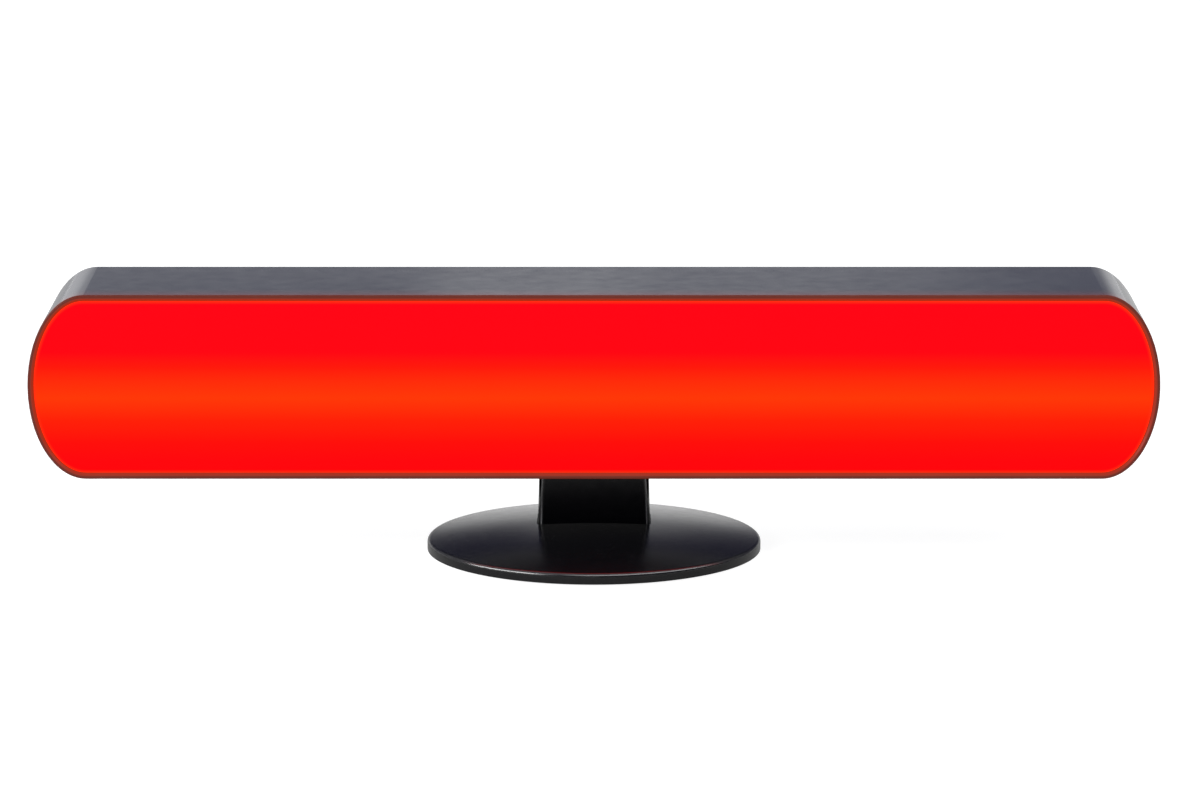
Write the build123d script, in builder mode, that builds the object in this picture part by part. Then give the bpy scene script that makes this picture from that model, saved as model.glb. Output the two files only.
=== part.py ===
"""A free-standing light bar: a racetrack-shaped lamp that tilts on a short neck over a round base.

Millimetres. +X runs along the bar, -Y is the lit face, +Z is up. The origin is on the table,
under the middle of the round base.
"""

import os

from build123d import *

os.makedirs("parts", exist_ok=True)

# ---- The bar ----
BAR_LENGTH = 400.0
BAR_HEIGHT = 66.0
BAR_DEPTH = 60.0
BAR_BOTTOM = 32.0  # its underside, over the table
END_REACH = 20.2  # half-width of each elliptical end
BAR_CENTRE = BAR_BOTTOM + BAR_HEIGHT / 2
BAR_FRONT = -BAR_DEPTH / 2
BAR_REAR = BAR_DEPTH / 2

# Insets are measured inwards from the bar's outline.
WALL = 2.1
THIN_LIP = 1.1  # wall left beside the diffuser and the rear cover
LEDGE = 3.4
FIT_GAP = 0.15

# ---- Depths of the front stack ----
BEZEL_THICK = 1.4
BEZEL_WIDTH = 2.1
BEZEL_BEVEL = (1.0, 0.8)  # across the face, into the depth
HOUSING_FRONT = BAR_FRONT + BEZEL_THICK
DIFFUSER_FACE = BAR_FRONT + 0.6
DIFFUSER_STEP = HOUSING_FRONT + 0.05
DIFFUSER_BACK = DIFFUSER_STEP + 2.35
SEAL_BACK = DIFFUSER_BACK + 0.7
TRAY_FLANGE_BACK = SEAL_BACK + 1.1
LEDGE_BACK = TRAY_FLANGE_BACK + 1.5
TRAY_WALL = 1.2
TRAY_FLOOR_INSET = 14.0
TRAY_FLOOR = -12.5  # the surface that the LED board lies on
TRAY_BACK = TRAY_FLOOR + TRAY_WALL

# ---- LED board ----
LED_BOARD_SIZE = (350.0, 10.0, 1.0)
LED_SIZE = (5.0, 5.0, 1.5)
LED_PITCH = 12.0
LED_COUNT = 28
LED_BOARD_FRONT = TRAY_FLOOR - LED_BOARD_SIZE[2]
LED_SCREW_X = (-171.0, -60.0, 60.0, 171.0)
LED_HEADER_X = 25.0

# ---- Rear cover and what is fixed to it ----
COVER_THICK = 2.0
COVER_INNER = BAR_REAR - 0.2 - COVER_THICK
COVER_OUTER = BAR_REAR - 0.2
COVER_SCREW_X = (-160.0, -55.0, 55.0, 160.0)
COVER_SCREW_RISE = 27.7  # above and below the bar's centre
COVER_ROUNDING = 0.3  # on the rim of each opening in the rear cover
HEAD_ROUNDING = 0.35  # on a screw's head, as a share of its height
BOSS_RADIUS = 3.5
COVER_BOSS_LENGTH = 16.0
VENT_COUNT = 21
VENT_PITCH = 5.0
VENT_SIZE = (1.6, 12.0)
VENT_RISE = 17.0
BOARD_X = 95.0
BOARD_SIZE = (80.0, 36.0, 1.6)
BOARD_REAR = COVER_INNER - 6.0
BOARD_FRONT = BOARD_REAR - BOARD_SIZE[2]
BOARD_POSTS = [(BOARD_X + dx, BAR_CENTRE + dz) for dx in (-36, 36) for dz in (-14, 14)]
CONTROL_Z = BAR_CENTRE - 9.0  # height of the buttons and the power socket
SOCKET_X = 70.0
SOCKET_SIZE = (8.94, 3.2)
SOCKET_DEPTH = 6.4
SOCKET_MOUTH = COVER_OUTER - 0.2
TONGUE_SIZE = (6.7, 5.2, 0.7)
BUTTONS = {"power": 90.0, "colour": 106.0, "brightness": 122.0}
BUTTON_RADIUS = 4.0
BUTTON_PROUD = 0.8
BUTTON_DISH = (3.2, 0.25)  # radius and depth of the hollow for the finger
SWITCH_HEIGHT = 3.5
PLUNGER_RADIUS = 1.65
BOARD_HEADER = (75.0, BAR_CENTRE + 5.0)
HEADER_SIZE = (10.0, 6.0)
LEAD_RADIUS = 1.5

# ---- Neck and tilt hinge ----
NECK_Y = 14.0  # middle of the neck and the tilt axis
TILT_Z = 45.0
AXLE_RADIUS = 2.5
EAR = (10.0, 12.0)  # from and to, out from the middle
WASHER = (12.1, 12.8)
CHEEK = (12.9, 14.4)
SPRING_WASHER = (14.6, 15.6)
NUT = (15.6, 19.6)
EAR_REACH = 5.0  # half-depth of an ear
CHEEK_REACH = 5.5
HINGE_BOSS_TOP = BAR_BOTTOM + WALL + 3.0
HINGE_PLATE = 1.5
HINGE_SCREWS = [(x, NECK_Y + dy) for x in (-22, 22) for dy in (-8, 8)]
NECK_SLOT = ((-13.9, 13.9), (NECK_Y - 8.1, NECK_Y + 10.6))  # in the bar's floor, long enough to tilt
NECK_HALF = (20.25, 11.0)  # half-width and half-depth where it meets the base
NECK_DRAFT = 0.027  # its sides close in, per millimetre of height
NECK_LEAN = 0.07  # and its front face leans out
NECK_CORNER = 2.2
NECK_WALL = 1.8
NECK_TOP = 27.6
TONGUE_HALF = (13.3, 6.5)
TONGUE_TOP = 34.5

# ---- Base ----
BASE_RADIUS = 60.0
BASE_UNDER = 0.6  # lower edge of its side wall
DOME_EDGE = 4.3
DOME_TOP = 8.8
SHOULDER_RADIUS = 1.3
BASE_WALL = 2.0
PLATE = (0.9, 2.1)  # lower and upper face
PLATE_RADIUS = 57.6
WEIGHT_RADIUS = 40.0
WEIGHT_TOP = 5.0
BASE_SCREW_CIRCLE = 47.0
FOOT_CIRCLE = 50.5
FOOT_RADIUS = 4.5
FOOT_COUNT = 6


# ---- Helpers ----
def bar_plane(y):
    """A plane across the bar at depth y. It is centred on the bar and faces the front."""
    return Plane(origin=(0, y, BAR_CENTRE), x_dir=(1, 0, 0), z_dir=(0, -1, 0))


def depth_plane(y):
    """A plane at depth y that faces the front, in which a point is (x, z)."""
    return Plane(origin=(0, y, 0), x_dir=(1, 0, 0), z_dir=(0, -1, 0))


def side_plane(x):
    """A plane across the hinge at x that faces +X, in which a point is (y, z)."""
    return Plane(origin=(x, 0, 0), x_dir=(0, 1, 0), z_dir=(1, 0, 0))


def racetrack(inset):
    """Adds the bar's outline, shrunk by inset, to the sketch in progress."""
    straight = BAR_LENGTH / 2 - END_REACH
    reach = END_REACH - inset
    rise = BAR_HEIGHT / 2 - inset
    with BuildLine() as outline:
        Line((-straight, rise), (straight, rise))
        EllipticalCenterArc((straight, 0), reach, rise, -90, arc_size=180)
        Line((straight, -rise), (-straight, -rise))
        EllipticalCenterArc((-straight, 0), reach, rise, 90, arc_size=180)
    make_face(outline.line.edges())


def slab(back, front, inset, mode=Mode.ADD):
    """A slice of the bar's outline from one depth forward to another."""
    with BuildSketch(bar_plane(back)) as section:
        racetrack(inset)
    extrude(section.sketch, amount=back - front, mode=mode)


def block(x, y, z, mode=Mode.ADD):
    """A box given by its limits along each axis."""
    centre = tuple(sum(limits) / 2 for limits in (x, y, z))
    with Locations(centre):
        Box(x[1] - x[0], y[1] - y[0], z[1] - z[0], mode=mode)


def rods(points, radius, back, front, mode=Mode.ADD):
    """Round bars along Y, through points given as (x, z)."""
    with BuildSketch(depth_plane(back)) as section:
        with Locations(*points):
            Circle(radius)
    extrude(section.sketch, amount=back - front, mode=mode)


def posts(points, radius, bottom, top, mode=Mode.ADD):
    """Round bars along Z, through points given as (x, y)."""
    with BuildSketch(Plane.XY.offset(bottom)) as section:
        with Locations(*points):
            Circle(radius)
    extrude(section.sketch, amount=top - bottom, mode=mode)


def hinge_ring(span, radius, mode=Mode.ADD):
    """A round bar on the tilt axis between two places along X."""
    with BuildSketch(side_plane(span[0])) as section:
        with Locations((NECK_Y, TILT_Z)):
            Circle(radius)
    extrude(section.sketch, amount=span[1] - span[0], mode=mode)


def hinge_leaf(span, reach, bottom):
    """An upright leaf with a round top about the tilt axis."""
    with BuildSketch(side_plane(span[0])) as section:
        with Locations((NECK_Y, (bottom + TILT_Z) / 2)):
            Rectangle(2 * reach, TILT_Z - bottom)
        with Locations((NECK_Y, TILT_Z)):
            Circle(reach)
    extrude(section.sketch, amount=span[1] - span[0])


def screws(seats, shank, head):
    """Cross-head screws. Each seat is a plane under the head that faces out along it.

    shank and head are (radius, length)."""
    for seat in seats:
        with BuildSketch(seat) as thread:
            Circle(shank[0])
        extrude(thread.sketch, amount=-shank[1])
        with BuildSketch(seat) as cap:
            Circle(head[0])
        extrude(cap.sketch, amount=head[1])
        outer_face = faces(Select.LAST).sort_by(Axis(seat.origin, seat.z_dir))[-1]
        fillet(outer_face.edges(), head[1] * HEAD_ROUNDING)
        with BuildSketch(seat.offset(head[1])) as cross:
            Rectangle(head[0] * 1.2, head[0] * 0.25)
            Rectangle(head[0] * 0.25, head[0] * 1.2)
        extrude(cross.sketch, amount=-head[1] * 0.5, mode=Mode.SUBTRACT)


def save(piece, name):
    """Labels a finished piece and writes it to parts/."""
    piece.part.label = name
    export_step(piece.part, f"parts/{name}.step")


# ==== The bar: shell and light engine ====
COVER_SCREWS = [(x, BAR_CENTRE + side * COVER_SCREW_RISE) for x in COVER_SCREW_X for side in (-1, 1)]

with BuildPart() as housing:
    slab(BAR_REAR, HOUSING_FRONT, 0)
    slab(TRAY_FLANGE_BACK, HOUSING_FRONT, THIN_LIP, Mode.SUBTRACT)
    slab(LEDGE_BACK, TRAY_FLANGE_BACK, LEDGE, Mode.SUBTRACT)
    slab(COVER_INNER, LEDGE_BACK, WALL, Mode.SUBTRACT)
    slab(BAR_REAR, COVER_INNER, THIN_LIP, Mode.SUBTRACT)
    fillet(housing.faces().sort_by(Axis.Y)[-1].outer_wire().edges(), 0.7)
    # Bosses for the rear cover, standing in from the top and bottom walls.
    rods(COVER_SCREWS, BOSS_RADIUS, COVER_INNER, COVER_INNER - COVER_BOSS_LENGTH)
    rods(COVER_SCREWS, 1.25, COVER_INNER, COVER_INNER - 10, Mode.SUBTRACT)
    # Bosses for the tilt bracket, and the slot that the neck comes up through.
    posts(HINGE_SCREWS, BOSS_RADIUS, BAR_BOTTOM + WALL - 0.5, HINGE_BOSS_TOP)
    posts(HINGE_SCREWS, 1.25, BAR_BOTTOM + 1.0, HINGE_BOSS_TOP, Mode.SUBTRACT)
    slot_x, slot_y = NECK_SLOT
    block(slot_x, slot_y, (BAR_BOTTOM - 1, BAR_BOTTOM + WALL + 1), Mode.SUBTRACT)
save(housing, "housing")

with BuildPart() as front_bezel:
    slab(HOUSING_FRONT, BAR_FRONT, 0)
    slab(HOUSING_FRONT, BAR_FRONT, BEZEL_WIDTH, Mode.SUBTRACT)
    face_edges = front_bezel.faces().sort_by(Axis.Y)[0]
    chamfer(face_edges.inner_wires()[0].edges(), length=BEZEL_BEVEL[1], length2=BEZEL_BEVEL[0])
    fillet(front_bezel.faces().sort_by(Axis.Y)[0].outer_wire().edges(), 0.5)
save(front_bezel, "front_bezel")

with BuildPart() as diffuser:
    slab(DIFFUSER_BACK, DIFFUSER_STEP, THIN_LIP + FIT_GAP)
    slab(DIFFUSER_STEP, DIFFUSER_FACE, BEZEL_WIDTH + FIT_GAP)
    fillet(diffuser.faces().sort_by(Axis.Y)[0].edges(), 0.45)
save(diffuser, "diffuser")

with BuildPart() as light_seal:
    slab(SEAL_BACK, DIFFUSER_BACK, THIN_LIP + 0.2)
    slab(SEAL_BACK, DIFFUSER_BACK, LEDGE - 0.1, Mode.SUBTRACT)
save(light_seal, "light_seal")

with BuildPart() as reflector_tray:
    slab(TRAY_FLANGE_BACK, SEAL_BACK, THIN_LIP + FIT_GAP)
    with BuildSketch(bar_plane(TRAY_FLANGE_BACK)) as mouth:
        racetrack(LEDGE + 0.3)
    with BuildSketch(bar_plane(TRAY_BACK)) as back:
        racetrack(TRAY_FLOOR_INSET - TRAY_WALL)
    loft([back.sketch.faces()[0], mouth.sketch.faces()[0]])
    with BuildSketch(bar_plane(TRAY_FLOOR)) as floor:
        racetrack(TRAY_FLOOR_INSET)
    with BuildSketch(bar_plane(SEAL_BACK)) as opening:
        racetrack(LEDGE + 0.3 + TRAY_WALL)
    loft([floor.sketch.faces()[0], opening.sketch.faces()[0]], mode=Mode.SUBTRACT)
    led_screw_points = [(x, BAR_CENTRE) for x in LED_SCREW_X]
    rods(led_screw_points, 2.6, TRAY_BACK + 3.0, TRAY_BACK)
    rods(led_screw_points, 0.9, TRAY_BACK + 2.3, TRAY_FLOOR, Mode.SUBTRACT)
    block(
        (LED_HEADER_X - HEADER_SIZE[0] / 2 - 0.3, LED_HEADER_X + HEADER_SIZE[0] / 2 + 0.3),
        (TRAY_FLOOR - 1, TRAY_BACK + 1),
        (BAR_CENTRE - HEADER_SIZE[1] / 2 - 0.3, BAR_CENTRE + HEADER_SIZE[1] / 2 + 0.3),
        Mode.SUBTRACT,
    )
save(reflector_tray, "reflector_tray")

with BuildPart() as led_board:
    half_length, half_height = LED_BOARD_SIZE[0] / 2, LED_BOARD_SIZE[1] / 2
    block(
        (-half_length, half_length),
        (LED_BOARD_FRONT, TRAY_FLOOR),
        (BAR_CENTRE - half_height, BAR_CENTRE + half_height),
    )
    rods(led_screw_points, 1.1, TRAY_FLOOR, LED_BOARD_FRONT, Mode.SUBTRACT)
save(led_board, "led_board")

with BuildPart() as leds:
    led_middle = LED_BOARD_FRONT - LED_SIZE[2] / 2
    with Locations((0, led_middle, BAR_CENTRE)):
        with GridLocations(LED_PITCH, 1, LED_COUNT, 1):
            Box(LED_SIZE[0], LED_SIZE[2], LED_SIZE[1])
save(leds, "leds")

with BuildPart() as led_board_screws:
    seats = [
        Plane(origin=(x, LED_BOARD_FRONT, BAR_CENTRE), x_dir=(1, 0, 0), z_dir=(0, -1, 0)) for x in LED_SCREW_X
    ]
    screws(seats, (0.85, 4.2), (2.1, 1.2))
save(led_board_screws, "led_board_screws")


def header(x, z, back, front):
    """A connector block between two depths, centred at (x, z)."""
    half_x, half_z = HEADER_SIZE[0] / 2, HEADER_SIZE[1] / 2
    block((x - half_x, x + half_x), (front, back), (z - half_z, z + half_z))


LED_PLUG_FRONT = TRAY_BACK + 5.3
PLUG_LENGTH = 4.5
BOARD_PLUG_BACK = BOARD_FRONT - 5.5

with BuildPart() as led_header:
    header(LED_HEADER_X, BAR_CENTRE, LED_PLUG_FRONT, TRAY_FLOOR)
save(led_header, "led_header")

with BuildPart() as board_header:
    header(*BOARD_HEADER, BOARD_FRONT, BOARD_PLUG_BACK)
save(board_header, "board_header")

with BuildPart() as lead_plugs:
    header(LED_HEADER_X, BAR_CENTRE, LED_PLUG_FRONT + PLUG_LENGTH, LED_PLUG_FRONT)
    header(*BOARD_HEADER, BOARD_PLUG_BACK, BOARD_PLUG_BACK - PLUG_LENGTH)
save(lead_plugs, "lead_plugs")

with BuildPart() as led_lead:
    lead_start = LED_PLUG_FRONT + PLUG_LENGTH
    lead_end = BOARD_PLUG_BACK - PLUG_LENGTH
    lead_middle = (lead_start + lead_end) / 2
    with BuildLine() as route:
        FilletPolyline(
            (LED_HEADER_X, lead_start, BAR_CENTRE),
            (LED_HEADER_X, lead_middle, BAR_CENTRE),
            (BOARD_HEADER[0], lead_middle, BOARD_HEADER[1]),
            (BOARD_HEADER[0], lead_end, BOARD_HEADER[1]),
            radius=0.9 * (lead_middle - lead_start),
        )
    with BuildSketch(Plane(origin=route.line @ 0, z_dir=(0, 1, 0))) as section:
        Circle(LEAD_RADIUS)
    sweep(section.sketch, path=route.line)
save(led_lead, "led_lead")

# ==== The bar: rear cover and control board ====
with BuildPart() as rear_cover:
    slab(COVER_OUTER, COVER_INNER, THIN_LIP + FIT_GAP)
    rods(BOARD_POSTS, 3.0, COVER_INNER, BOARD_REAR)
    rods(BOARD_POSTS, 1.0, COVER_INNER - 0.5, BOARD_REAR, Mode.SUBTRACT)
    rods(COVER_SCREWS, 1.7, COVER_OUTER, COVER_INNER, Mode.SUBTRACT)
    rods(COVER_SCREWS, 3.2, COVER_OUTER, COVER_OUTER - 1.2, Mode.SUBTRACT)
    button_points = [(x, CONTROL_Z) for x in BUTTONS.values()]
    rods(button_points, BUTTON_RADIUS + 0.3, COVER_OUTER, COVER_INNER, Mode.SUBTRACT)
    with BuildSketch(depth_plane(COVER_OUTER)) as socket_recess:
        with Locations((SOCKET_X, CONTROL_Z)):
            SlotOverall(13.4, 7.4)
    extrude(amount=0.7, mode=Mode.SUBTRACT)
    with BuildSketch(depth_plane(COVER_OUTER)) as socket_window:
        with Locations((SOCKET_X, CONTROL_Z)):
            SlotOverall(SOCKET_SIZE[0] + 0.4, SOCKET_SIZE[1] + 0.4)
    extrude(amount=COVER_THICK, mode=Mode.SUBTRACT)
    with BuildSketch(depth_plane(COVER_OUTER)) as vents:
        with Locations((0, BAR_CENTRE + VENT_RISE)):
            with GridLocations(VENT_PITCH, 1, VENT_COUNT, 1):
                SlotOverall(VENT_SIZE[1], VENT_SIZE[0], rotation=90)
    extrude(amount=COVER_THICK, mode=Mode.SUBTRACT)
    fillet(rear_cover.faces().sort_by(Axis.Y)[-1].edges(), COVER_ROUNDING)
save(rear_cover, "rear_cover")

with BuildPart() as rear_cover_screws:
    seats = [
        Plane(origin=(x, COVER_OUTER - 1.2, z), x_dir=(1, 0, 0), z_dir=(0, 1, 0)) for x, z in COVER_SCREWS
    ]
    screws(seats, (1.2, 9.5), (2.9, 1.1))
save(rear_cover_screws, "rear_cover_screws")

with BuildPart() as control_board:
    half_length, half_height = BOARD_SIZE[0] / 2, BOARD_SIZE[1] / 2
    block(
        (BOARD_X - half_length, BOARD_X + half_length),
        (BOARD_FRONT, BOARD_REAR),
        (BAR_CENTRE - half_height, BAR_CENTRE + half_height),
    )
    rods(BOARD_POSTS, 1.2, BOARD_REAR, BOARD_FRONT, Mode.SUBTRACT)
save(control_board, "control_board")

with BuildPart() as board_screws:
    seats = [Plane(origin=(x, BOARD_FRONT, z), x_dir=(1, 0, 0), z_dir=(0, -1, 0)) for x, z in BOARD_POSTS]
    screws(seats, (0.95, 6.0), (2.2, 1.3))
save(board_screws, "board_screws")

with BuildPart() as board_components:
    for x, rise, width, height, depth in (
        (100, 4, 16, 12, 2.2),  # radio module
        (118, 2, 7, 7, 1.0),  # controller
        (90, -11, 6, 5, 1.6),  # LED driver
        (102, -11, 8, 8, 4.0),  # inductor
    ):
        block(
            (x - width / 2, x + width / 2),
            (BOARD_FRONT - depth, BOARD_FRONT),
            (BAR_CENTRE + rise - height / 2, BAR_CENTRE + rise + height / 2),
        )
    rods([(x, BAR_CENTRE - 11) for x in (112, 120)], 3.15, BOARD_FRONT, BOARD_FRONT - 6.0)
save(board_components, "board_components")

with BuildPart() as usb_receptacle:
    with BuildSketch(depth_plane(SOCKET_MOUTH)) as shell:
        with Locations((SOCKET_X, CONTROL_Z)):
            SlotOverall(*SOCKET_SIZE)
    extrude(amount=SOCKET_MOUTH - BOARD_REAR)
    with BuildSketch(depth_plane(SOCKET_MOUTH)) as cavity:
        with Locations((SOCKET_X, CONTROL_Z)):
            SlotOverall(SOCKET_SIZE[0] - 0.6, SOCKET_SIZE[1] - 0.6)
    extrude(amount=SOCKET_DEPTH, mode=Mode.SUBTRACT)
save(usb_receptacle, "usb_receptacle")

with BuildPart() as usb_tongue:
    cavity_end = SOCKET_MOUTH - SOCKET_DEPTH
    tongue_x = (SOCKET_X - TONGUE_SIZE[0] / 2, SOCKET_X + TONGUE_SIZE[0] / 2)
    tongue_z = (CONTROL_Z - TONGUE_SIZE[2] / 2, CONTROL_Z + TONGUE_SIZE[2] / 2)
    block(tongue_x, (cavity_end, cavity_end + TONGUE_SIZE[1]), tongue_z)
save(usb_tongue, "usb_tongue")

SWITCH_TOP = BOARD_REAR + SWITCH_HEIGHT
PLUNGER_TOP = SWITCH_TOP + 1.0

with BuildPart() as switch_bodies:
    for x in BUTTONS.values():
        block((x - 3, x + 3), (BOARD_REAR, SWITCH_TOP), (CONTROL_Z - 3, CONTROL_Z + 3))
    rods(button_points, PLUNGER_RADIUS + 0.08, SWITCH_TOP, BOARD_REAR + 0.5, Mode.SUBTRACT)
save(switch_bodies, "switch_bodies")

for button_name, x in BUTTONS.items():
    with BuildPart() as plunger:
        rods([(x, CONTROL_Z)], PLUNGER_RADIUS, PLUNGER_TOP, BOARD_REAR + 1.4)
    save(plunger, f"{button_name}_plunger")

    with BuildPart() as button:
        rods([(x, CONTROL_Z)], 1.5, PLUNGER_TOP + 0.5, PLUNGER_TOP)
        rods([(x, CONTROL_Z)], BUTTON_RADIUS + 1.0, COVER_INNER - 0.1, PLUNGER_TOP + 0.3)
        rods([(x, CONTROL_Z)], BUTTON_RADIUS, COVER_OUTER + BUTTON_PROUD, COVER_INNER - 0.1)
        fillet(button.faces().sort_by(Axis.Y)[-1].edges(), 0.5)
        dish_radius, dish_depth = BUTTON_DISH
        ball_radius = (dish_radius**2 + dish_depth**2) / (2 * dish_depth)
        with Locations((x, COVER_OUTER + BUTTON_PROUD - dish_depth + ball_radius, CONTROL_Z)):
            Sphere(ball_radius, mode=Mode.SUBTRACT)
    save(button, f"{button_name}_button")

# ==== Tilt hinge ====
with BuildPart() as tilt_bracket:
    plate_top = HINGE_BOSS_TOP + HINGE_PLATE
    block((-28, 28), (NECK_Y - 12, NECK_Y + 12), (HINGE_BOSS_TOP, plate_top))
    fillet(tilt_bracket.edges().filter_by(Axis.Z), 3.0)
    block((-12.5, 12.5), (NECK_Y - 6.3, NECK_Y + 7.8), (HINGE_BOSS_TOP, plate_top), Mode.SUBTRACT)
    hinge_leaf(CHEEK, CHEEK_REACH, HINGE_BOSS_TOP)
    hinge_leaf((-CHEEK[1], -CHEEK[0]), CHEEK_REACH, HINGE_BOSS_TOP)
    hinge_ring((-CHEEK[1], CHEEK[1]), AXLE_RADIUS + 0.05, Mode.SUBTRACT)
    posts(HINGE_SCREWS, 1.7, HINGE_BOSS_TOP, plate_top, Mode.SUBTRACT)
save(tilt_bracket, "tilt_bracket")

with BuildPart() as tilt_bracket_screws:
    seats = [Plane(origin=(x, y, HINGE_BOSS_TOP + HINGE_PLATE), z_dir=(0, 0, 1)) for x, y in HINGE_SCREWS]
    screws(seats, (1.2, 5.0), (2.75, 1.8))
save(tilt_bracket_screws, "tilt_bracket_screws")

with BuildPart() as tilt_axle:
    hinge_ring((-SPRING_WASHER[0], NUT[1]), AXLE_RADIUS)
    hinge_ring((-SPRING_WASHER[0] - 2.5, -SPRING_WASHER[0]), 4.5)
save(tilt_axle, "tilt_axle")

with BuildPart() as hinge_spacer:
    hinge_ring((-EAR[0], EAR[0]), 4.0)
    hinge_ring((-EAR[0], EAR[0]), AXLE_RADIUS + 0.05, Mode.SUBTRACT)
save(hinge_spacer, "hinge_spacer")

with BuildPart() as friction_washers:
    for span in (WASHER, (-WASHER[1], -WASHER[0])):
        hinge_ring(span, 5.5)
        hinge_ring(span, AXLE_RADIUS + 0.05, Mode.SUBTRACT)
save(friction_washers, "friction_washers")

with BuildPart() as spring_washer:
    hinge_ring(SPRING_WASHER, 5.5)
    hinge_ring(SPRING_WASHER, AXLE_RADIUS + 0.05, Mode.SUBTRACT)
save(spring_washer, "spring_washer")

with BuildPart() as axle_nut:
    with BuildSketch(side_plane(NUT[0])) as hexagon:
        with Locations((NECK_Y, TILT_Z)):
            RegularPolygon(4.0, 6, major_radius=False)
    extrude(amount=NUT[1] - NUT[0])
    hinge_ring(NUT, AXLE_RADIUS + 0.02, Mode.SUBTRACT)
save(axle_nut, "axle_nut")

# ==== Neck ====
NECK_SCREWS = [(x, NECK_Y + dy) for x in (-6, 6) for dy in (-4, 4)]


def neck_section(z, inset):
    """The neck's rounded rectangle at height z, shrunk by inset."""
    rise = z - DOME_TOP
    lean = NECK_LEAN * rise
    width = 2 * (NECK_HALF[0] - NECK_DRAFT * rise - inset)
    depth = 2 * (NECK_HALF[1] - inset) + lean
    with BuildSketch(Plane.XY.offset(z)) as section:
        with Locations((0, NECK_Y - lean / 2)):
            RectangleRounded(width, depth, NECK_CORNER - inset * 0.6)
    return section.sketch.faces()[0]


with BuildPart() as neck_shell:
    loft([neck_section(WEIGHT_TOP, 0), neck_section(NECK_TOP, 0)])
    fillet(neck_shell.faces().sort_by(Axis.Z)[-1].edges(), 0.8)
    ceiling = NECK_TOP - NECK_WALL
    tongue_x = (-TONGUE_HALF[0], TONGUE_HALF[0])
    tongue_y = (NECK_Y - TONGUE_HALF[1], NECK_Y + TONGUE_HALF[1])
    block(tongue_x, tongue_y, (ceiling, TONGUE_TOP))
    loft([neck_section(WEIGHT_TOP, NECK_WALL), neck_section(ceiling, NECK_WALL)], mode=Mode.SUBTRACT)
    block((-12.2, 12.2), (NECK_Y - 5.3, NECK_Y + 5.3), (ceiling - 1, TONGUE_TOP), Mode.SUBTRACT)
save(neck_shell, "neck_shell")

with BuildPart() as neck_bracket:
    foot_top = WEIGHT_TOP + 2.0
    block((-16, 16), (NECK_Y - 8, NECK_Y + 8), (WEIGHT_TOP, foot_top))
    hinge_leaf(EAR, EAR_REACH, WEIGHT_TOP)
    hinge_leaf((-EAR[1], -EAR[0]), EAR_REACH, WEIGHT_TOP)
    hinge_ring((-EAR[1], EAR[1]), AXLE_RADIUS + 0.02, Mode.SUBTRACT)
    posts(NECK_SCREWS, 1.52, WEIGHT_TOP, foot_top, Mode.SUBTRACT)
save(neck_bracket, "neck_bracket")

with BuildPart() as neck_screws:
    seats = [Plane(origin=(x, y, 3.9), x_dir=(1, 0, 0), z_dir=(0, 0, -1)) for x, y in NECK_SCREWS]
    screws(seats, (1.5, 4.8), (2.8, 1.5))
save(neck_screws, "neck_screws")


# ==== Base ====
def dome(rim_height, top_height, radius, floor_height):
    """Adds half the section of a shallow dome on a straight-sided disc, and turns it."""
    sphere = (radius**2 + (top_height - rim_height) ** 2) / (2 * (top_height - rim_height))
    middle = (radius / 2, top_height - sphere + (sphere**2 - radius**2 / 4) ** 0.5)
    with BuildSketch(Plane.XZ) as section:
        with BuildLine() as outline:
            Polyline((0, top_height), (0, floor_height), (radius, floor_height), (radius, rim_height))
            ThreePointArc((radius, rim_height), middle, (0, top_height))
        make_face()
    return section.sketch


BASE_SCREWS = [(loc.position.X, loc.position.Y) for loc in PolarLocations(BASE_SCREW_CIRCLE, FOOT_COUNT, 30)]

with BuildPart() as base_cover:
    revolve(dome(DOME_EDGE, DOME_TOP, BASE_RADIUS, BASE_UNDER), Axis.Z)
    circles = base_cover.edges().filter_by(GeomType.CIRCLE)
    fillet(circles.filter_by_position(Axis.Z, DOME_EDGE - 0.1, DOME_EDGE + 0.1), SHOULDER_RADIUS)
    revolve(
        dome(DOME_EDGE - BASE_WALL, DOME_TOP - BASE_WALL, BASE_RADIUS - BASE_WALL, BASE_UNDER),
        Axis.Z,
        mode=Mode.SUBTRACT,
    )
    posts(BASE_SCREWS, 3.0, PLATE[1], PLATE[1] + 3.0)
    posts(BASE_SCREWS, 1.0, PLATE[1], PLATE[1] + 2.8, Mode.SUBTRACT)
    with BuildSketch(Plane.XY.offset(PLATE[1])) as neck_hole:
        with Locations((0, NECK_Y)):
            RectangleRounded(2 * (NECK_HALF[0] + 0.3), 2 * (NECK_HALF[1] + 0.3), NECK_CORNER)
    extrude(amount=DOME_TOP, mode=Mode.SUBTRACT)
save(base_cover, "base_cover")

with BuildPart() as base_weight:
    with BuildSketch(Plane.XZ) as weight_section:
        with BuildLine() as weight_outline:
            Polyline(
                (0, PLATE[1]),
                (WEIGHT_RADIUS, PLATE[1]),
                (WEIGHT_RADIUS, WEIGHT_TOP - 0.9),
                (WEIGHT_RADIUS - 7, WEIGHT_TOP),
                (0, WEIGHT_TOP),
                close=True,
            )
        make_face()
    revolve(axis=Axis.Z)
    posts(NECK_SCREWS, 1.7, PLATE[1], WEIGHT_TOP, Mode.SUBTRACT)
    posts(NECK_SCREWS, 3.1, PLATE[1], 3.9, Mode.SUBTRACT)
save(base_weight, "base_weight")

with BuildPart() as base_plate:
    posts([(0, 0)], PLATE_RADIUS, *PLATE)
    posts([(0, NECK_Y)], 11.0, *PLATE, Mode.SUBTRACT)
    posts(BASE_SCREWS, 1.4, *PLATE, Mode.SUBTRACT)
    fillet(base_plate.faces().sort_by(Axis.Z)[0].edges().filter_by_position(Axis.Y, 1, 60), 0.25)
save(base_plate, "base_plate")

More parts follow.
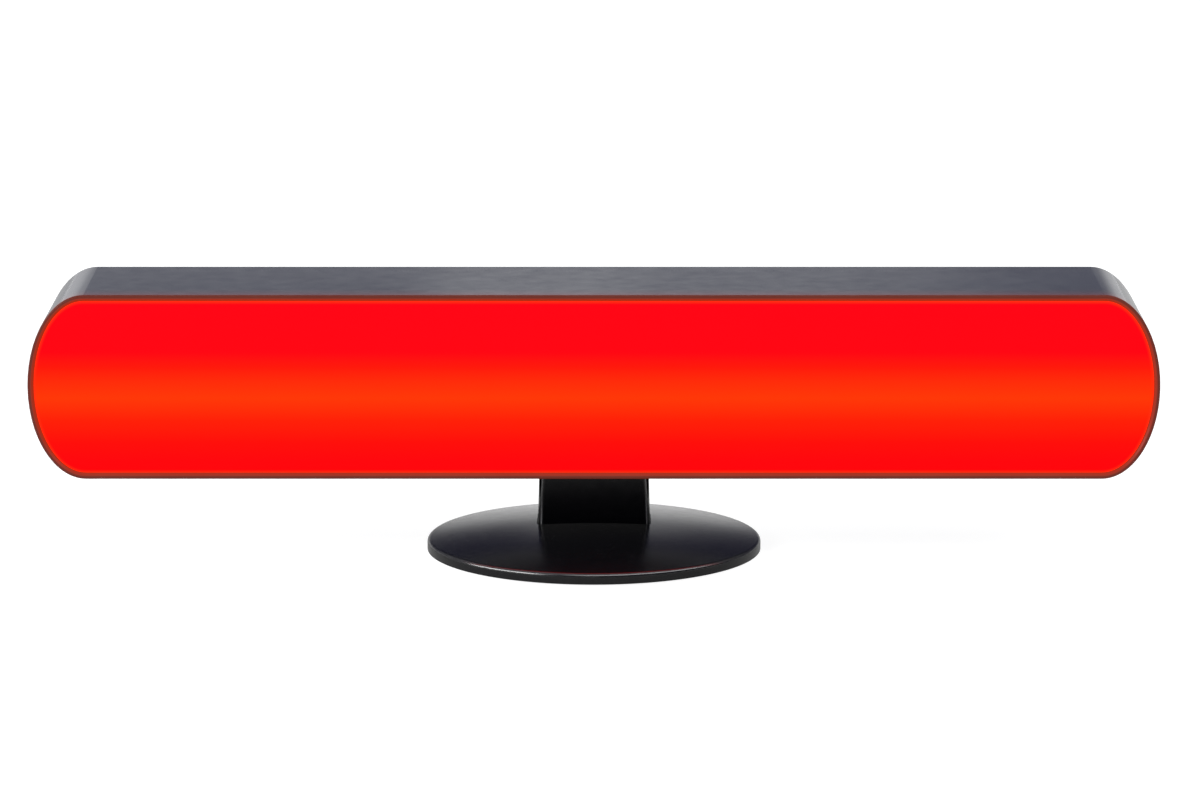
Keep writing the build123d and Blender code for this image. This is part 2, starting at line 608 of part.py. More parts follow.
with BuildPart() as base_screws:
    seats = [Plane(origin=(x, y, PLATE[0]), x_dir=(1, 0, 0), z_dir=(0, 0, -1)) for x, y in BASE_SCREWS]
    screws(seats, (0.95, 3.8), (2.2, 0.6))
save(base_screws, "base_screws")

with BuildPart() as rubber_feet:
    with BuildSketch(Plane.XY) as foot_outline:
        with PolarLocations(FOOT_CIRCLE, FOOT_COUNT):
            Circle(FOOT_RADIUS)
    extrude(amount=PLATE[0])
save(rubber_feet, "rubber_feet")
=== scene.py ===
import math

import bmesh
import bpy
from mathutils import Matrix, Vector


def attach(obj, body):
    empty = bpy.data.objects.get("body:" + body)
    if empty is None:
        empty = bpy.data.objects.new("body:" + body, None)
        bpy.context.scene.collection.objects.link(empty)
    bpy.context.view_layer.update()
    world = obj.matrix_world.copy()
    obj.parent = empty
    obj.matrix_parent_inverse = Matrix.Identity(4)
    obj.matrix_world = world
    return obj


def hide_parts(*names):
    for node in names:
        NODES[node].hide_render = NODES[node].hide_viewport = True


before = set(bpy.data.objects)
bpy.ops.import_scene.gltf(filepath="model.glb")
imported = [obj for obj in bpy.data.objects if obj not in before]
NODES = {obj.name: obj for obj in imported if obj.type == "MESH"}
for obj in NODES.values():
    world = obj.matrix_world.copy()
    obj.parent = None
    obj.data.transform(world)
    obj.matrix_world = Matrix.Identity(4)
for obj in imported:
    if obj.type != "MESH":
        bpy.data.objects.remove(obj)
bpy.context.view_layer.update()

# ---- Sizes shared with the CAD, in metres ----
BAR_LENGTH = 0.400
BAR_HEIGHT = 0.066
BAR_BOTTOM = 0.032
BAR_CENTRE = 0.065
END_REACH = 0.0202
RIM_WIDTH = 0.0021
BEZEL_REAR = -0.0288
BLEED = 0.0168
CONTROL_Z = 0.056
COVER_FACE = 0.0298
SOCKET_X = 0.070
BUTTON_X = {"power": 0.090, "colour": 0.106, "brightness": 0.122}
LED_PITCH = 0.012
BOARD_FACE = 0.0202
FOOT_RADIUS = 0.0045
FOOT_HEIGHT = 0.0009
FOOT_CIRCLE = 0.0505
FOOT_COUNT = 6
INK_RISE = 0.00006
INK_WIDTH = 0.00042
ICON_Z = CONTROL_Z + 0.0088


# ---- Materials ----
class Tree:
    """Short ways to add nodes to a node tree and join them."""

    def __init__(self, tree, output, shader, coordinates):
        self.tree = tree
        self.tree.nodes.clear()
        self.shader = self.add(shader)
        self.tree.links.new(self.shader.outputs[0], self.add(output).inputs["Surface"])
        self.place = self.add("ShaderNodeTexCoord").outputs[coordinates]

    def add(self, kind, **settings):
        node = self.tree.nodes.new(kind)
        for key, value in settings.items():
            setattr(node, key, value)
        return node

    def put(self, socket, value):
        """Links a socket to another, or sets it to a plain value."""
        if isinstance(value, bpy.types.NodeSocket):
            self.tree.links.new(value, socket)
        else:
            socket.default_value = value

    def set(self, **inputs):
        """Sets the shader's inputs. An underscore in a name stands for a space."""
        for name, value in inputs.items():
            if isinstance(value, tuple) and len(value) == 3:
                value = (*value, 1.0)
            self.put(self.shader.inputs[name.replace("_", " ")], value)

    def math(self, operation, *values):
        node = self.add("ShaderNodeMath", operation=operation)
        for socket, value in zip(node.inputs, values):
            self.put(socket, value)
        return node.outputs[0]

    def length(self, first, second):
        """The length of a vector with two parts."""
        squares = [self.math("MULTIPLY", part, part) for part in (first, second)]
        return self.math("SQRT", self.math("ADD", *squares))

    def axes(self):
        """The x, y and z of each point, in metres, or of each direction in the sky."""
        split = self.add("ShaderNodeSeparateXYZ")
        self.put(split.inputs[0], self.place)
        return split.outputs

    def normal(self):
        """The x, y and z of the surface's direction."""
        split = self.add("ShaderNodeSeparateXYZ")
        self.put(split.inputs[0], self.add("ShaderNodeNewGeometry").outputs["Normal"])
        return split.outputs

    def noise(self, scale, detail=2.0, roughness=0.5, stretch=(1, 1, 1)):
        """Noise from 0 to 1 whose features are about 1/scale metres across."""
        mapping = self.add("ShaderNodeMapping")
        self.put(mapping.inputs["Vector"], self.place)
        mapping.inputs["Scale"].default_value = stretch
        node = self.add("ShaderNodeTexNoise")
        self.put(node.inputs["Vector"], mapping.outputs[0])
        for name, value in (("Scale", scale), ("Detail", detail), ("Roughness", roughness)):
            node.inputs[name].default_value = value
        return node.outputs["Fac"]

    def cells(self, scale):
        """The distance to the nearest of a cloud of points, for grains, pores and dust."""
        node = self.add("ShaderNodeTexVoronoi", feature="F1")
        self.put(node.inputs["Vector"], self.place)
        node.inputs["Scale"].default_value = scale
        return node.outputs["Distance"]

    def span(self, value, low, high, to_low=0.0, to_high=1.0, smooth=False):
        """Maps low..high of a value to to_low..to_high, and holds it there outside."""
        kind = "SMOOTHSTEP" if smooth else "LINEAR"
        node = self.add("ShaderNodeMapRange", interpolation_type=kind)
        for socket, number in zip(node.inputs, (value, low, high, to_low, to_high)):
            self.put(socket, number)
        return node.outputs[0]

    def all_of(self, *masks):
        """1 where every mask is 1."""
        total = masks[0]
        for mask in masks[1:]:
            total = self.math("MULTIPLY", total, mask)
        return total

    def within(self, value, low, high, soft=0.00003):
        """1 where a value lies between two limits, with soft edges."""
        rising = self.span(value, low - soft, low + soft)
        return self.math("MULTIPLY", rising, self.span(value, high - soft, high + soft, 1.0, 0.0))

    def off_grid(self, value, pitch, start=0.0):
        """How far a value is from the nearest of a row of evenly spaced places."""
        shifted = self.math("SUBTRACT", value, start - pitch / 2)
        inside = self.math("FLOORED_MODULO", shifted, pitch)
        return self.math("ABSOLUTE", self.math("SUBTRACT", inside, pitch / 2))

    def from_axis(self, first, second, centre):
        """How far a point is from a line along the third axis."""
        across = self.math("SUBTRACT", first, centre[0])
        return self.length(across, self.math("SUBTRACT", second, centre[1]))

    def mix(self, factor, first, second):
        """Blends two colours."""
        node = self.add("ShaderNodeMix", data_type="RGBA")
        self.put(node.inputs["Factor"], factor)
        for socket, value in ((node.inputs["A"], first), (node.inputs["B"], second)):
            self.put(colour_socket(node, socket.name), (*value, 1.0) if isinstance(value, tuple) else value)
        return colour_output(node)

    def ramp(self, value, stops):
        """A colour ramp with (place, colour) stops."""
        node = self.add("ShaderNodeValToRGB")
        self.put(node.inputs[0], value)
        elements = node.color_ramp.elements
        while len(elements) < len(stops):
            elements.new(1.0)
        for element, (place, colour) in zip(elements, stops):
            element.position = place
            element.color = (*colour, 1.0)
        return node.outputs[0]

    def bump(self, *layers):
        """Stacks (height, distance in metres) layers of bump onto the shader's normal."""
        normal = None
        for height, distance in layers:
            node = self.add("ShaderNodeBump")
            node.inputs["Strength"].default_value = 1.0
            node.inputs["Distance"].default_value = distance
            self.put(node.inputs["Height"], height)
            if normal is not None:
                self.put(node.inputs["Normal"], normal)
            normal = node.outputs[0]
        self.set(Normal=normal)


class Graph(Tree):
    """One material, made of a Principled shader and the nodes that feed it."""

    def __init__(self, name):
        self.material = bpy.data.materials.new(name)
        self.material.use_nodes = True
        tree = self.material.node_tree
        super().__init__(tree, "ShaderNodeOutputMaterial", "ShaderNodeBsdfPrincipled", "Object")


def colour_socket(node, name):
    return next(s for s in node.inputs if s.name == name and s.type == "RGBA")


def colour_output(node):
    return next(s for s in node.outputs if s.type == "RGBA")


def outline_distance(graph):
    """How far in from the bar's outline a point is, in metres, as seen along Y.

    The outline is an ellipse at each end, where a point's reach is 1. The distance is what is left of
    that reach, divided by how fast the reach grows."""
    x, _, z = graph.axes()[:3]
    half_height = BAR_HEIGHT / 2
    straight = BAR_LENGTH / 2 - END_REACH
    beyond = graph.math("MAXIMUM", graph.math("SUBTRACT", graph.math("ABSOLUTE", x), straight), 0.0)
    across = graph.math("DIVIDE", beyond, END_REACH)
    up = graph.math("DIVIDE", graph.math("SUBTRACT", z, BAR_CENTRE), half_height)
    reach = graph.length(across, up)
    gradient = graph.length(graph.math("DIVIDE", across, END_REACH), graph.math("DIVIDE", up, half_height))
    slope = graph.math("DIVIDE", gradient, graph.math("MAXIMUM", reach, 0.001))
    return graph.math("DIVIDE", graph.math("SUBTRACT", 1.0, reach), graph.math("MAXIMUM", slope, 1.0))


def plastic(name, colour, tint, roughness, grain, depth, spread=0.05):
    """Moulded plastic: a fine grain that deep, and patches that differ a little in colour and gloss."""
    graph = Graph(name)
    patches = graph.noise(38, detail=3.0)
    graph.set(
        Base_Color=graph.mix(graph.span(patches, 0.35, 0.65), colour, tint),
        Roughness=graph.span(graph.noise(160, detail=4.0), 0.3, 0.7, roughness - spread, roughness + spread),
    )
    graph.bump((graph.noise(320, detail=1.0), depth * 1.5), (graph.noise(grain, detail=2.0), depth))
    return graph


def metal(name, colour, tint, roughness, stretch=(1, 1, 1), grain=1500):
    """Plated or rolled steel, with faint scratches along one way."""
    graph = Graph(name)
    lines = graph.noise(grain, detail=4.0, roughness=0.65, stretch=stretch)
    stains = graph.noise(120, detail=3.0)
    graph.set(
        Base_Color=graph.mix(graph.span(stains, 0.35, 0.7), colour, tint),
        Roughness=graph.span(lines, 0.3, 0.7, roughness - 0.08, roughness + 0.1),
        Metallic=1.0,
    )
    graph.bump((lines, 4e-6))
    return graph.material


def slate_shell():
    """The housing: satin slate grey. Light from the panel tints it just behind the rim."""
    slate, pale_slate = (0.040, 0.0435, 0.058), (0.046, 0.050, 0.065)
    graph = plastic("slate_shell", slate, pale_slate, 0.10, 2600, 4e-7, spread=0.015)
    bleed = graph.math("POWER", graph.span(graph.axes()[1], BEZEL_REAR, BEZEL_REAR + BLEED, 1.0, 0.0), 3.0)
    graph.set(Specular_IOR_Level=0.2, Emission_Color=(0.07, 0.002, 0.0), Emission_Strength=bleed)
    return graph.material


def glowing_rim():
    """The bezel: smoky brown plastic that carries some of the panel's light to its inner edge."""
    graph = plastic("glowing_rim", (0.020, 0.008, 0.008), (0.026, 0.010, 0.009), 0.35, 2600, 2e-6)
    glow = graph.ramp(
        graph.span(outline_distance(graph), 0.0, RIM_WIDTH),
        [
            (0.00, (0.105, 0.010, 0.001)),
            (0.42, (0.115, 0.011, 0.001)),
            (0.58, (0.27, 0.017, 0.001)),
            (1.00, (0.37, 0.018, 0.0)),
        ],
    )
    graph.set(Specular_IOR_Level=0.08, Emission_Color=glow, Emission_Strength=1.0)
    return graph.material


def lit_panel():
    """The diffuser: opal plastic lit deep red at its top and bottom, and orange across its middle."""
    graph = Graph("lit_panel")
    height = graph.span(graph.axes()[2], BAR_BOTTOM, BAR_BOTTOM + BAR_HEIGHT)
    body = graph.ramp(
        height,
        [
            (0.00, (0.86, 0.0, 0.0022)),
            (0.10, (0.97, 0.0006, 0.0024)),
            (0.20, (0.98, 0.0030, 0.0015)),
            (0.32, (0.99, 0.0130, 0.0006)),
            (0.44, (1.0, 0.0380, 0.0006)),
            (0.53, (0.98, 0.0235, 0.0012)),
            (0.61, (0.98, 0.0080, 0.0018)),
            (0.69, (0.99, 0.0004, 0.0050)),
            (1.00, (1.0, 0.0002, 0.0065)),
        ],
    )
    inset = outline_distance(graph)
    edge = graph.math("POWER", graph.span(inset, RIM_WIDTH, RIM_WIDTH + 0.0013, 1.0, 0.0), 1.4)
    cloud = graph.span(graph.noise(30, detail=2.0), 0.3, 0.7, 0.985, 1.015)
    graph.set(
        Base_Color=(0.25, 0.0, 0.0),
        Roughness=graph.span(graph.noise(600, detail=2.0), 0.3, 0.7, 0.42, 0.5),
        Specular_IOR_Level=0.02,
        Emission_Color=graph.mix(edge, body, (1.0, 0.030, 0.006)),
        Emission_Strength=cloud,
    )
    graph.bump((graph.noise(2400, detail=1.0), 1.5e-6))
    return graph.material


def gloss_black(name, specular, roughness, edge):
    """Polished black plastic with hairline scratches, a little dust, and a painted highlight that makes its
    corners paler.

    edge(graph) gives how much of a corner each point is on, from 0 to 1: where the highlight is painted."""
    graph = Graph(name)
    scratches = graph.noise(260, detail=5.0, roughness=0.7, stretch=(1, 6, 1))
    dust = graph.span(graph.cells(900), 0.0, 0.16, 1.0, 0.0)
    sparse = graph.math("MULTIPLY", dust, graph.span(graph.noise(90), 0.55, 0.75))
    # Painted highlight: a pale colour along the corners, made uneven with noise, stands in for light
    # reflected there.
    uneven = graph.span(graph.noise(220, detail=3.0), 0.25, 0.6, 0.5, 1.0)
    painted_highlight = graph.math("MULTIPLY", edge(graph), uneven)
    smooth = graph.span(scratches, 0.35, 0.75, roughness - 0.03, roughness + 0.05)
    clean = graph.mix(graph.math("MULTIPLY", sparse, 0.4), (0.0014, 0.0014, 0.0019), (0.03, 0.03, 0.031))
    graph.set(
        # The pale grey mixed in here is the painted highlight on the corners.
        Base_Color=graph.mix(painted_highlight, clean, (0.17, 0.17, 0.178)),
        Roughness=graph.math("ADD", smooth, graph.math("MULTIPLY", sparse, 0.25)),
        Specular_IOR_Level=specular,
    )
    graph.bump((graph.noise(140, detail=1.0), 6e-6), (scratches, 4e-7))
    return graph.material


def upright_corner(graph):
    """Where the highlight is painted on the neck: 1 on a narrow line down each rounded corner, and less
    towards its top.
    """
    turn = graph.math("ABSOLUTE", graph.normal()[0])
    lower = graph.span(graph.axes()[2], 0.010, 0.026, 1.0, 0.4)
    line = graph.math("MULTIPLY", graph.span(turn, 0.30, 0.42), graph.span(turn, 0.50, 0.62, 1.0, 0.0))
    return graph.math("MULTIPLY", line, lower)


def shoulder(graph):
    """Where the highlight is painted on the base: up to 0.13 on the rounded shoulder, between its dome and
    its side wall.
    """
    z = graph.normal()[2]
    rising = graph.span(z, 0.30, 0.50, smooth=True)
    return graph.math("MULTIPLY", rising, graph.span(z, 0.80, 0.93, 0.13, 0.0, smooth=True))


def foam():
    """The seal behind the diffuser: charcoal closed-cell foam."""
    graph = Graph("foam")
    pores = graph.cells(2200)
    charcoal = graph.mix(graph.span(pores, 0.1, 0.6), (0.010, 0.010, 0.011), (0.032, 0.032, 0.034))
    graph.set(Base_Color=charcoal, Roughness=0.95)
    graph.bump((graph.noise(300, detail=2.0), 8e-5), (pores, 6e-5))
    return graph.material


def reflector_white():
    """The reflector tray: white satin plastic, with faint flow marks along it."""
    graph = Graph("reflector_white")
    flow = graph.noise(70, detail=3.0, stretch=(0.25, 1, 1))
    graph.set(
        Base_Color=graph.mix(graph.span(flow, 0.35, 0.65), (0.80, 0.80, 0.78), (0.86, 0.86, 0.85)),
        Roughness=graph.span(flow, 0.3, 0.7, 0.28, 0.4),
    )
    graph.bump((graph.noise(1800), 3e-6))
    return graph.material


def board_white():
    """The LED board: white solder mask over two raised copper rails, with a tinned pad by each LED."""
    graph = Graph("board_white")
    x, _, z = graph.axes()[:3]
    rise = graph.math("ABSOLUTE", graph.math("SUBTRACT", z, BAR_CENTRE))
    rails = graph.within(rise, 0.0033, 0.0043)
    pads = graph.all_of(
        graph.within(graph.off_grid(x, LED_PITCH), 0.0016, 0.0030),
        graph.within(rise, 0.0, 0.0016),
    )
    white = graph.mix(rails, (0.78, 0.78, 0.76), (0.66, 0.68, 0.62))
    graph.set(
        Base_Color=graph.mix(pads, white, (0.62, 0.62, 0.60)),
        Metallic=pads,
        Roughness=graph.span(graph.noise(900), 0.3, 0.7, 0.35, 0.5),
    )
    graph.bump((graph.math("ADD", rails, pads), 3e-5), (graph.noise(2400), 2e-6))
    return graph.material


def led_package():
    """An LED: a white moulded package round a disc of yellow phosphor gel."""
    graph = Graph("led_package")
    x, _, z = graph.axes()[:3]
    across = graph.off_grid(x, LED_PITCH, LED_PITCH / 2)
    radius = graph.from_axis(across, z, (0.0, BAR_CENTRE))
    gel = graph.within(radius, 0.0, 0.0019)
    speckle = graph.span(graph.noise(6000), 0.35, 0.65)
    phosphor = graph.mix(speckle, (0.82, 0.56, 0.07), (0.90, 0.68, 0.14))
    graph.set(
        Base_Color=graph.mix(gel, (0.84, 0.84, 0.82), phosphor),
        Roughness=graph.span(gel, 0.0, 1.0, 0.5, 0.16),
    )
    graph.bump((graph.span(radius, 0.0016, 0.0020), 8e-5), (speckle, 2e-6))
    return graph.material


def circuit_board():
    """The control board: dark green solder mask over copper tracks that run both ways, with plated holes."""
    graph = Graph("circuit_board")
    x, _, z = graph.axes()[:3]
    blocks = graph.cells(140)
    across = graph.within(graph.off_grid(x, 0.0011), 0.0, 0.00018)
    along = graph.within(graph.off_grid(z, 0.0013), 0.0, 0.00018)
    tracks = graph.math(
        "MAXIMUM",
        graph.all_of(across, graph.span(blocks, 0.42, 0.44)),
        graph.all_of(along, graph.span(blocks, 0.36, 0.38, 1.0, 0.0)),
    )
    hole = graph.from_axis(graph.off_grid(x, 0.0077), graph.off_grid(z, 0.0091), (0.0, 0.0))
    plated = graph.within(hole, 0.00025, 0.00055)
    mask = graph.mix(tracks, (0.004, 0.045, 0.018), (0.012, 0.110, 0.040))
    graph.set(Base_Color=graph.mix(plated, mask, (0.80, 0.60, 0.28)), Metallic=plated, Roughness=0.32)
    graph.bump((graph.math("ADD", tracks, plated), 3e-5), (graph.noise(1500), 3e-6))
    return graph.material


def chips():
    """Parts on the control board: epoxy chips, one with a metal can, and capacitors with bare tops."""
    graph = Graph("chips")
    x, y, z = graph.axes()[:3]
    can = graph.all_of(graph.within(x, 0.0915, 0.1085), graph.within(z, 0.0625, 0.0755))
    tops = graph.within(y, 0.0, BOARD_FACE - 0.0055)
    bare = graph.math("MAXIMUM", can, tops)
    stains = graph.span(graph.noise(260, detail=3.0), 0.35, 0.65)
    metal_tone = graph.mix(stains, (0.58, 0.58, 0.57), (0.68, 0.68, 0.67))
    epoxy = graph.mix(stains, (0.014, 0.014, 0.015), (0.024, 0.024, 0.025))
    graph.set(
        Base_Color=graph.mix(bare, epoxy, metal_tone),
        Metallic=bare,
        Roughness=graph.span(graph.noise(1200), 0.3, 0.7, 0.35, 0.6),
    )
    graph.bump((graph.noise(3000), 5e-6))
    return graph.material


def contact_tongue():
    """The tongue in the power socket: black plastic with a row of gold contacts."""
    graph = Graph("contact_tongue")
    x, y, _ = graph.axes()[:3]
    strips = graph.within(graph.off_grid(x, 0.0005, SOCKET_X), 0.0, 0.00013, 0.00002)
    contacts = graph.all_of(strips, graph.within(y, COVER_FACE - 0.0058, COVER_FACE - 0.0018))
    grain = graph.span(graph.noise(900), 0.4, 0.6)
    black = graph.mix(grain, (0.010, 0.010, 0.010), (0.018, 0.018, 0.018))
    graph.set(Base_Color=graph.mix(contacts, black, (0.90, 0.66, 0.26)), Metallic=contacts, Roughness=0.3)
    graph.bump((contacts, 2e-5))
    return graph.material


def nylon(name, colour, tint, ribs=0.0):
    """Moulded nylon, with ribs at a pitch along X where it is a connector."""
    graph = Graph(name)
    patches = graph.noise(400, detail=2.0)
    graph.set(
        Base_Color=graph.mix(graph.span(patches, 0.35, 0.65), colour, tint),
        Roughness=graph.span(graph.noise(900), 0.3, 0.7, 0.4, 0.55),
        Subsurface_Weight=0.1,
        Subsurface_Scale=0.001,
    )
    layers = [(graph.noise(2600), 4e-6)]
    if ribs:
        layers.insert(0, (graph.within(graph.off_grid(graph.axes()[0], ribs), 0.0, ribs * 0.3), 1.2e-4))
    graph.bump(*layers)
    return graph.material


def wire_jacket():
    """The lead's jacket: black PVC with a fine ripple along it and a pale tracer line."""
    graph = Graph("wire_jacket")
    z = graph.axes()[2]
    wobble = graph.math("MULTIPLY", graph.noise(90), 0.002)
    tracer = graph.within(graph.off_grid(graph.math("ADD", z, wobble), 0.0060, 0.0010), 0.0, 0.00022)
    graph.set(Base_Color=graph.mix(tracer, (0.014, 0.014, 0.015), (0.50, 0.50, 0.50)), Roughness=0.42)
    graph.bump((graph.noise(700, stretch=(1, 4, 1)), 2e-5))
    return graph.material


def friction_fibre():
    """The hinge's friction washers: brown pressed fibre with pale strands."""
    graph = Graph("friction_fibre")
    strands = graph.noise(1400, detail=5.0, roughness=0.75, stretch=(6, 1, 1))
    graph.set(
        Base_Color=graph.mix(graph.span(strands, 0.4, 0.62), (0.090, 0.040, 0.018), (0.26, 0.15, 0.075)),
        Roughness=0.88,
    )
    graph.bump((strands, 5e-5))
    return graph.material


def cast_iron():
    """The weight in the base: sand-cast iron under grey paint, bare where the paint has chipped."""
    graph = Graph("cast_iron")
    sand = graph.noise(700, detail=6.0, roughness=0.7)
    chipped = graph.span(graph.noise(160, detail=5.0, roughness=0.7), 0.60, 0.63)
    painted = graph.mix(sand, (0.050, 0.052, 0.056), (0.085, 0.087, 0.092))
    graph.set(
        Base_Color=graph.mix(chipped, painted, (0.20, 0.17, 0.15)),
        Metallic=chipped,
        Roughness=graph.span(sand, 0.3, 0.7, 0.55, 0.8),
    )
    graph.bump((graph.noise(90, detail=2.0), 2e-4), (sand, 1.2e-4))
    return graph.material


def base_underside():
    """The base plate: matt black plastic, with shallow grooves in rings round its middle."""
    graph = plastic("base_underside", (0.012, 0.012, 0.013), (0.020, 0.020, 0.021), 0.6, 1700, 1.6e-5)
    x, y, _ = graph.axes()[:3]
    rings = graph.off_grid(graph.from_axis(x, y, (0.0, 0.0)), 0.0030)
    grooves = graph.within(rings, 0.0, 0.00022, 0.00008)
    graph.bump((grooves, -1.5e-4), (graph.noise(1700, detail=2.0), 1.6e-5))
    return graph.material


def rubber():
    """The feet: matt rubber, dusty in its grooves."""
    graph = Graph("rubber")
    dust = graph.span(graph.noise(500, detail=5.0, roughness=0.7), 0.42, 0.68)
    graph.set(
        Base_Color=graph.mix(dust, (0.016, 0.016, 0.016), (0.050, 0.048, 0.045)),
        Roughness=graph.span(dust, 0.0, 1.0, 0.72, 0.92),
        Sheen_Weight=0.1,
    )
    graph.bump((graph.noise(1800, detail=3.0), 1.5e-5))
    return graph.material


def printed_white():
    """Pad-printed ink: off-white, a little thin in places."""
    graph = Graph("printed_white")
    cover = graph.noise(1800, detail=3.0)
    graph.set(
        Base_Color=graph.mix(graph.span(cover, 0.3, 0.6), (0.50, 0.50, 0.50), (0.72, 0.72, 0.71)),
        Roughness=graph.span(cover, 0.3, 0.7, 0.45, 0.6),
    )
    graph.bump((cover, 4e-6))
    return graph.material


steel = metal("zinc_steel", (0.52, 0.53, 0.55), (0.62, 0.62, 0.60), 0.30, stretch=(1, 5, 1))
black_steel = metal("black_oxide", (0.085, 0.085, 0.088), (0.14, 0.138, 0.135), 0.34)
nickel = metal("nickel", (0.60, 0.58, 0.54), (0.68, 0.66, 0.62), 0.24)
spring_steel = metal("spring_steel", (0.30, 0.32, 0.38), (0.42, 0.38, 0.34), 0.28, stretch=(1, 1, 6))
socket_steel = metal("socket_steel", (0.60, 0.61, 0.62), (0.66, 0.66, 0.66), 0.22, stretch=(1, 8, 1))
rear_texture = plastic("textured_black", (0.012, 0.012, 0.013), (0.017, 0.017, 0.018), 0.58, 1500, 2.2e-5)
button_grey = plastic("button_grey", (0.045, 0.046, 0.050), (0.054, 0.055, 0.060), 0.42, 2400, 4e-6)
ivory = nylon("ivory_nylon", (0.62, 0.59, 0.50), (0.70, 0.67, 0.58), ribs=0.0020)
black_nylon = nylon("black_nylon", (0.013, 0.013, 0.014), (0.022, 0.022, 0.023))
tan_nylon = nylon("tan_nylon", (0.25, 0.15, 0.09), (0.32, 0.20, 0.12))
neck_black = gloss_black("neck_black", 0.5, 0.10, upright_corner)
base_black = gloss_black("base_black", 0.5, 0.21, shoulder)

FINISHES = [
    (slate_shell(), ["housing"]),
    (glowing_rim(), ["front_bezel"]),
    (lit_panel(), ["diffuser"]),
    (foam(), ["light_seal"]),
    (reflector_white(), ["reflector_tray"]),
    (board_white(), ["led_board"]),
    (led_package(), ["leds"]),
    (circuit_board(), ["control_board"]),
    (chips(), ["board_components"]),
    (contact_tongue(), ["usb_tongue"]),
    (socket_steel, ["usb_receptacle"]),
    (rear_texture.material, ["rear_cover"]),
    (button_grey.material, ["power_button", "colour_button", "brightness_button"]),
    (ivory, ["led_header", "board_header", "lead_plugs"]),
    (black_nylon, ["switch_bodies"]),
    (tan_nylon, ["power_plunger", "colour_plunger", "brightness_plunger"]),
    (wire_jacket(), ["led_lead"]),
    (black_steel, ["rear_cover_screws", "base_screws"]),
    (nickel, ["led_board_screws", "board_screws"]),
    (steel, ["tilt_bracket", "tilt_bracket_screws", "tilt_axle", "axle_nut", "hinge_spacer"]),
    (steel, ["neck_bracket", "neck_screws"]),
    (spring_steel, ["spring_washer"]),
    (friction_fibre(), ["friction_washers"]),
    (neck_black, ["neck_shell"]),
    (base_black, ["base_cover"]),
    (cast_iron(), ["base_weight"]),
    (base_underside(), ["base_plate"]),
]


def paint(node, material):
    """Puts one material on every slot of a CAD node."""
    slots = NODES[node].data.materials
    if not slots:
        slots.append(material)
    for index in range(len(slots)):
        slots[index] = material


for finish, names in FINISHES:
    for node in names:
        paint(node, finish)


# ---- Pieces made in mesh code ----
def piece(name, mesh, material, body):
    """Adds a mesh to the scene with its material, and fixes it to a body."""
    mesh.materials.clear()
    mesh.materials.append(material)
    made = bpy.data.objects.new(name, mesh)
    bpy.context.scene.collection.objects.link(made)
    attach(made, body)
    return made


def arc(radius, start, end, centre=(0.0, 0.0), steps=28):
    """Points along part of a circle. Angles are in degrees."""
    angles = (math.radians(start + (end - start) * step / steps) for step in range(steps + 1))
    return [(centre[0] + radius * math.cos(angle), centre[1] + radius * math.sin(angle)) for angle in angles]


def lathe(shape, profile, centre, segments=48):
    """Adds a closed round solid to a bmesh: a profile turned about a line along Z.

    The profile is (radius, height) points that start and end on the axis."""
    rings = []
    for radius, height in profile[1:-1]:
        circle = arc(radius, 0, 360, centre, segments)[:-1]
        rings.append([shape.verts.new((x, y, height)) for x, y in circle])
    for inner, outer in zip(rings, rings[1:]):
        for step in range(segments):
            following = (step + 1) % segments
            shape.faces.new((inner[step], inner[following], outer[following], outer[step]))
    for ring, height in ((rings[0], profile[0][1]), (rings[-1], profile[-1][1])):
        middle = shape.verts.new((*centre, height))
        for step in range(segments):
            shape.faces.new((ring[step], ring[(step + 1) % segments], middle))


def moulded_feet():
    """Six rubber feet with rounded rims, a raised ring and a dished middle."""
    reach = FOOT_RADIUS - 0.00002
    top = FOOT_HEIGHT - 0.00001
    dish = [(0.0, 0.00035), (0.0010, 0.00032), (0.0017, 0.00012)]
    ring = [(0.0021, 0.0), (0.0025, 0.0), (0.0027, 0.00012)]
    groove = [(0.0028, 0.00028), (0.0030, 0.00028), (0.0031, 0.00012)]
    rim = [(0.0033, 0.0), (0.0039, 0.0), (0.0042, 0.00006), (0.00438, 0.0002), (reach, 0.00042)]
    profile = dish + ring + groove + rim + [(reach, top), (0.0, top)]
    shape = bmesh.new()
    for centre in arc(FOOT_CIRCLE, 0, 360, steps=FOOT_COUNT)[:-1]:
        lathe(shape, profile, centre)
    bmesh.ops.recalc_face_normals(shape, faces=shape.faces)
    mesh = bpy.data.meshes.new("moulded_feet")
    shape.to_mesh(mesh)
    shape.free()
    mesh.shade_smooth()
    return mesh


feet = piece("moulded_feet", moulded_feet(), rubber(), "stand")
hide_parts("rubber_feet")


def icon_mesh(name, strokes, width, centre):
    """Flattened ink lines on the rear cover. A stroke is a list of (x, z) from the icon's centre."""
    curve = bpy.data.curves.new(name, "CURVE")
    curve.dimensions = "3D"
    curve.bevel_depth = width / 2
    curve.bevel_resolution = 3
    curve.use_fill_caps = True
    for stroke in strokes:
        closed = math.dist(stroke[0], stroke[-1]) < width / 4
        points = stroke[:-1] if closed else stroke
        spline = curve.splines.new("POLY")
        spline.points.add(len(points) - 1)
        spline.use_cyclic_u = closed
        for point, (x, z) in zip(spline.points, points):
            point.co = (x, 0.0, z, 1.0)
    template = bpy.data.objects.new(name, curve)
    mesh = bpy.data.meshes.new_from_object(template)
    bpy.data.objects.remove(template)
    flatten = Matrix.Scale(2 * INK_RISE / width, 4, (0, 1, 0))
    mesh.transform(Matrix.Translation((centre[0], COVER_FACE, centre[1])) @ flatten)
    mesh.name = name
    mesh.shade_smooth()
    return mesh


THIRDS = [2 * math.pi * step / 3 for step in range(3)]
